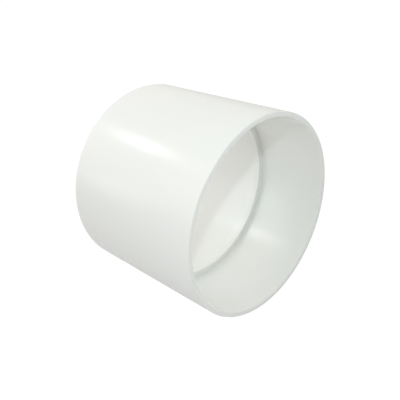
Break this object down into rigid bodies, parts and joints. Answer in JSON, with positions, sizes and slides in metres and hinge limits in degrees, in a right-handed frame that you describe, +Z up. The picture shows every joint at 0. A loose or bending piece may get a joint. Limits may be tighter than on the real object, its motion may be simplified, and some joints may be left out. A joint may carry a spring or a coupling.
{
  "type": "straight pipe coupling",
  "caption": "Straight slip coupling for plastic drain pipe: a thin-wall sleeve with a plain socket in each end and a square-edged stop ring at mid-length.",
  "frame": {"origin": "on the axis at mid-length, which is the middle of the stop ring", "axes": "+X along the axis, out of the right-hand socket; the coupling lies on its side with +Z up"},
  "size_m": [0.0922, 0.1132, 0.1132],
  "materials": {
    "sleeve_plastic": "smooth glossy white PVC",
    "stop_ring_plastic": "smooth white PVC, a little less glossy than the sleeve"
  },
  "bodies": {
    "root": {"sleeve": "sleeve_plastic", "stop_ring": "stop_ring_plastic"}
  },
  "joints": []
}
